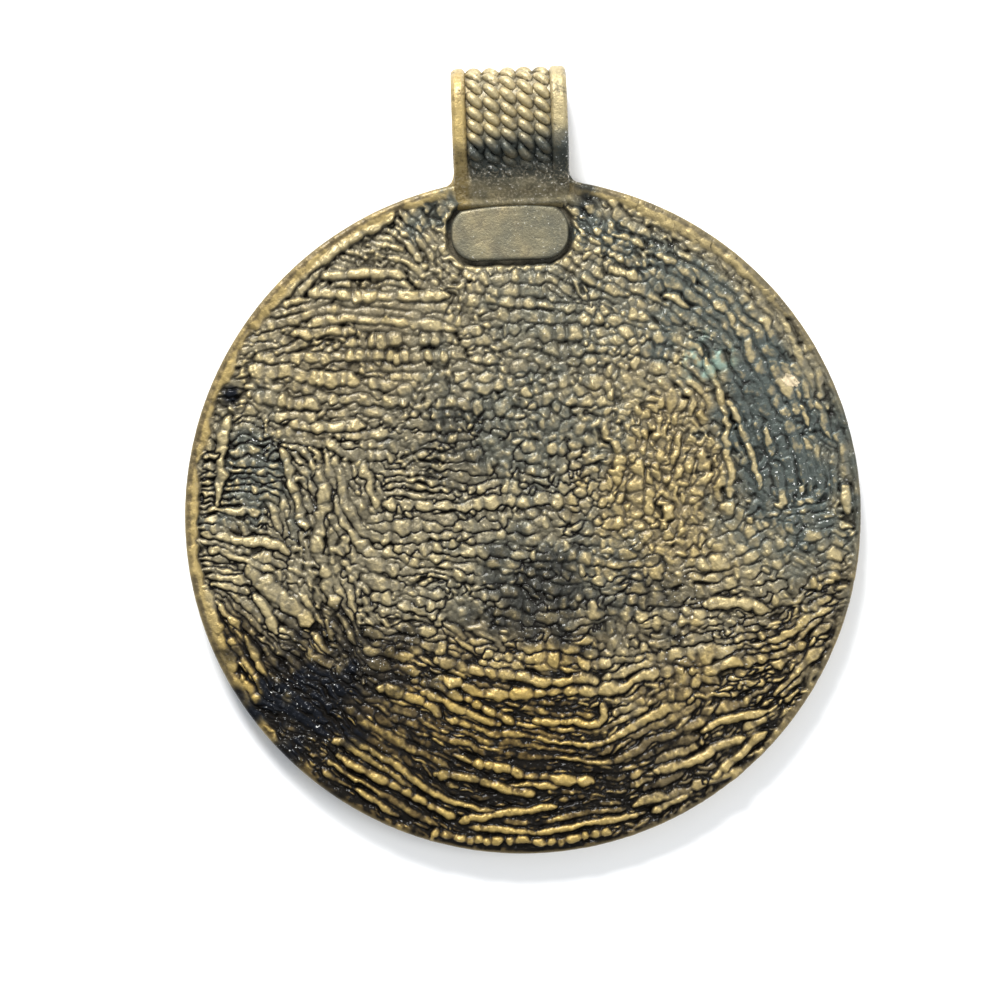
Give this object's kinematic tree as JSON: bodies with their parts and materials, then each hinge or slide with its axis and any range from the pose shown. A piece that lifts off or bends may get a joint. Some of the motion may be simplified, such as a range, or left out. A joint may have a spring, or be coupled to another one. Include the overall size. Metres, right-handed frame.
{
  "type": "medallion pendant",
  "caption": "Round cast brass medallion pendant with a ridged back, a bare pad and a wide folded bail of twisted wires for a chain.",
  "frame": {"origin": "centre of the disc's flat front face, which lies on the surface", "axes": "+Z out of the knobbly back, +Y from the disc's centre towards the bail, +X along the bail's opening"},
  "size_m": [0.06, 0.0698, 0.0068],
  "materials": {
    "antique_brass": "aged and darkened in the hollows, softly polished on the high spots"
  },
  "bodies": {
    "root": {"pendant": "antique_brass"}
  },
  "joints": []
}
